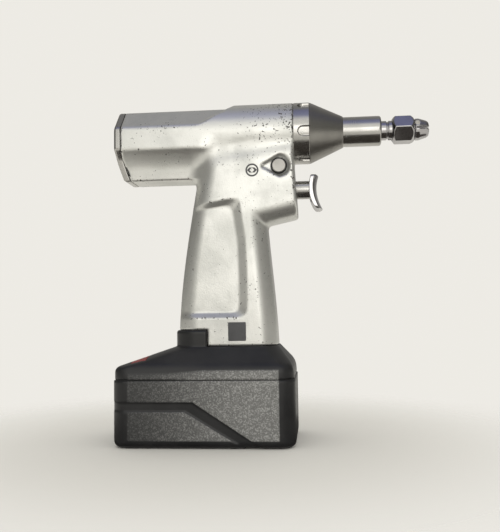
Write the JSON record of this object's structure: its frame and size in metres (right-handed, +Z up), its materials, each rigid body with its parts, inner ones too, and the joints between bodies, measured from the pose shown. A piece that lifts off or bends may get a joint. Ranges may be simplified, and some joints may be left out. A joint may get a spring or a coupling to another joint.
{
  "type": "surgical reciprocating saw",
  "caption": "Battery-powered pistol-grip reciprocating bone saw with a steel nose, hexagonal collet nut, finger trigger and a clip-on battery it stands on.",
  "frame": {"origin": "centre of the battery's flat underside, on which the tool stands", "axes": "+X towards the blade end, +Y to the operator's left, +Z up"},
  "size_m": [0.1936, 0.066, 0.2085],
  "materials": {
    "painted_casting": "silver paint, worn at the edges",
    "polished_steel": "polished",
    "satin_steel": "turned, satin",
    "shaft_steel": "ground",
    "gear_steel": "hardened",
    "screw_steel": "plain",
    "bearing_bronze": "plain",
    "frame_aluminium": "machined",
    "motor_steel": "plain",
    "seal_rubber": "matt",
    "board_green": "glass fibre",
    "chip_black": "moulded",
    "harness_sleeve": "sleeved wires",
    "contact_copper": "plated",
    "spring_steel": "plain",
    "case_black": "fine moulded texture",
    "release_red": "moulded",
    "cell_sleeve": "shrink sleeve",
    "holder_plastic": "moulded"
  },
  "bodies": {
    "handpiece": {"housing": "painted_casting", "rear_cap": "polished_steel", "rear_cap_gasket": "seal_rubber", "rear_cap_screws": "screw_steel", "nose_ring": "satin_steel", "nose_cone": "satin_steel", "nose_tube": "satin_steel", "guide_bush_rear": "bearing_bronze", "guide_bush_front": "bearing_bronze", "shaft_seal": "seal_rubber", "drive_frame": "frame_aluminium", "crank_bearings": "bearing_bronze", "motor_can": "motor_steel", "motor_front_cap": "frame_aluminium", "motor_bearings": "bearing_bronze", "motor_board": "board_green", "stator": "motor_steel", "trigger_bush": "bearing_bronze", "trigger_seal": "seal_rubber", "trigger_board": "board_green", "selector_seals": "seal_rubber", "selector_detent": "spring_steel", "control_board": "board_green", "heat_spreader": "frame_aluminium", "power_transistors": "chip_black", "wiring_harness": "harness_sleeve", "terminal_block": "chip_black", "terminal_blades": "contact_copper", "base_plate": "frame_aluminium", "base_plate_screws": "screw_steel"},
    "motor_rotor": {"rotor_shaft": "shaft_steel", "rotor_magnet": "motor_steel", "bevel_pinion": "gear_steel"},
    "crank": {"crank_gear": "gear_steel", "crank_disc": "gear_steel", "crank_pin": "shaft_steel", "crank_roller": "shaft_steel"},
    "saw_shaft": {"yoke": "shaft_steel", "reciprocating_shaft": "shaft_steel", "collet_tip": "polished_steel", "cross_pin": "satin_steel"},
    "nut": {"collet_nut": "polished_steel"},
    "trigger": {"trigger_plate": "polished_steel", "trigger_stem": "shaft_steel", "trigger_magnet": "motor_steel", "trigger_spring": "spring_steel"},
    "selector": {"selector_pin": "satin_steel"},
    "battery": {"case_upper": "case_black", "case_lower": "case_black", "case_gasket": "seal_rubber", "case_screws": "screw_steel", "latch_pin": "shaft_steel", "latch_spring": "spring_steel", "cells": "cell_sleeve", "cell_holders": "holder_plastic", "cell_straps": "contact_copper", "battery_board": "board_green", "contact_sockets": "contact_copper"},
    "latch": {"latch_lever": "case_black", "latch_pad": "release_red"}
  },
  "joints": [
    {"name": "motor_spin", "type": "hinge", "parent": "handpiece", "child": "motor_rotor", "pos_m": [0, 0, 0.1895], "axis": [1, 0, 0], "range_deg": [-180, 180]},
    {"name": "crank_turn", "type": "hinge", "parent": "handpiece", "child": "crank", "pos_m": [0.038, 0, 0.1895], "axis": [0, 1, 0], "range_deg": [-90.01, 90.01]},
    {"name": "saw_stroke", "type": "slide", "parent": "handpiece", "child": "saw_shaft", "axis": [1, 0, 0], "range_m": [-0.0016, 0.0016]},
    {"name": "nut_twist", "type": "hinge", "parent": "saw_shaft", "child": "nut", "pos_m": [0.1145, 0, 0.1895], "axis": [1, 0, 0], "range_deg": [0, 60]},
    {"name": "trigger_pull", "type": "slide", "parent": "handpiece", "child": "trigger", "axis": [-1, 0, 0], "range_m": [0, 0.005], "stiffness_N_per_m": 900, "springref_m": -0.002, "deforming": ["trigger_spring"]},
    {"name": "selector_push", "type": "slide", "parent": "handpiece", "child": "selector", "axis": [0, 1, 0], "range_m": [0, 0.004]},
    {"name": "battery_release", "type": "slide", "parent": "handpiece", "child": "battery", "axis": [0, 0, -1], "range_m": [0, 0.03]},
    {"name": "latch_press", "type": "hinge", "parent": "battery", "child": "latch", "pos_m": [-0.028, 0, 0.05159], "axis": [0, -1, 0], "range_deg": [0, 6], "stiffness_Nm_per_rad": 0.6, "springref_deg": -5.73, "deforming": ["latch_spring"]}
  ],
  "couplings": [
    {"joint": "crank_turn", "follows": "saw_stroke", "rad_per_m": 981.75},
    {"joint": "motor_spin", "follows": "saw_stroke", "rad_per_m": 1963.5}
  ]
}
